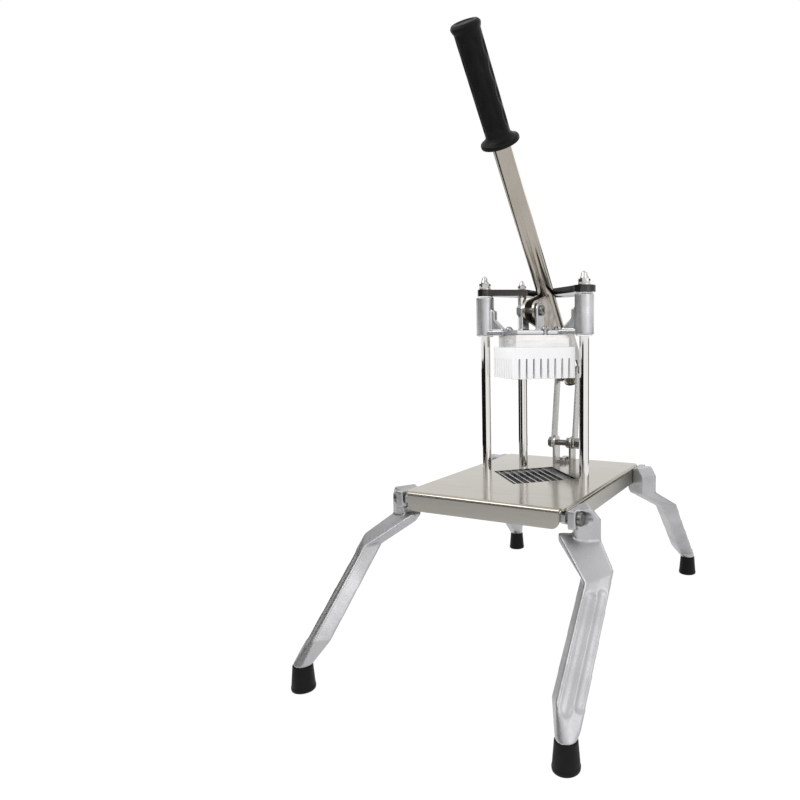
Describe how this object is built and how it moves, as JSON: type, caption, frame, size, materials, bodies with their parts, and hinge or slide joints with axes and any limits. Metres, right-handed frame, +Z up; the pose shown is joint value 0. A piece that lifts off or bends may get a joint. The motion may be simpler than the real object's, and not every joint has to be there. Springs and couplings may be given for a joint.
{
  "type": "french fry cutter",
  "caption": "Upright lever press on splayed legs: a pusher block slides down guide rods and drives food through a square grid of blades in the base plate.",
  "frame": {"origin": "on the floor, at the bottom centre of the bounding box, under the middle of the base plate", "axes": "+X to the cutter's right as seen from the front, +Y to the back, +Z up; the lever swings in the plane X = 0"},
  "size_m": [0.315, 0.521, 0.6725],
  "materials": {
    "cast_leg": "satin tumbled casting",
    "black_rubber": "matte moulded rubber",
    "polished_rod": "bright polished",
    "polished_sheet": "polished stainless sheet",
    "tie_plate": "polished bar with dark reflections",
    "cast_head": "bright tumbled casting",
    "machined_aluminium": "machined satin",
    "white_plastic": "smooth nylon",
    "blade_steel": "fine ground",
    "lever_tube": "polished stainless tube",
    "link_steel": "satin stainless",
    "black_plastic": "moulded, ribbed edge",
    "fastener_steel": "bright zinc or stainless"
  },
  "bodies": {
    "base": {"base_plate": "polished_sheet", "leg_front_left": "cast_leg", "leg_front_right": "cast_leg", "leg_back_left": "cast_leg", "leg_back_right": "cast_leg", "foot_front_left": "black_rubber", "foot_front_right": "black_rubber", "foot_back_left": "black_rubber", "foot_back_right": "black_rubber", "leg_bolts": "fastener_steel", "leg_nuts": "fastener_steel", "guide_rod_left": "polished_rod", "guide_rod_right": "polished_rod", "back_rod": "polished_rod", "rod_base_washers": "fastener_steel", "rod_base_nuts": "fastener_steel", "tie_plate": "tie_plate", "tie_washers": "polished_rod", "cap_nuts": "polished_rod", "blade_frame": "machined_aluminium", "blades_upper": "blade_steel", "blades_lower": "blade_steel", "frame_studs": "fastener_steel", "frame_thumb_nuts": "black_plastic", "link_bracket": "polished_sheet", "bracket_screws": "fastener_steel", "link_bolt": "fastener_steel", "link_bolt_nuts": "fastener_steel"},
    "head": {"crosshead": "cast_head", "guide_bushes": "white_plastic", "pusher_holder": "machined_aluminium", "pusher_block": "white_plastic", "holder_screws": "fastener_steel", "pivot_bolt": "fastener_steel", "pivot_nut": "fastener_steel"},
    "lever": {"lever_tube": "lever_tube", "lever_cheek_left": "polished_sheet", "lever_cheek_right": "polished_sheet", "tail_plate_left": "link_steel", "tail_plate_right": "link_steel", "hand_grip": "black_rubber", "tube_plug": "black_rubber"},
    "links": {"link_left": "link_steel", "link_right": "link_steel", "tail_pin": "fastener_steel"}
  },
  "joints": [
    {"name": "head_slide", "type": "slide", "parent": "base", "child": "head", "axis": [0, 0, 1], "range_m": [-0.126, 0]},
    {"name": "lever_pivot", "type": "hinge", "parent": "head", "child": "lever", "pos_m": [0, 0.0035, 0.391], "axis": [1, 0, 0], "range_deg": [0, 51.1]},
    {"name": "link_pivot", "type": "hinge", "parent": "base", "child": "links", "pos_m": [0, 0.108, 0.212], "axis": [1, 0, 0], "range_deg": [-16, 0]}
  ],
  "couplings": [
    {"joint": "lever_pivot", "follows": "head_slide", "rad_per_m": -6.77},
    {"joint": "link_pivot", "follows": "head_slide", "rad_per_m": 2.07}
  ]
}
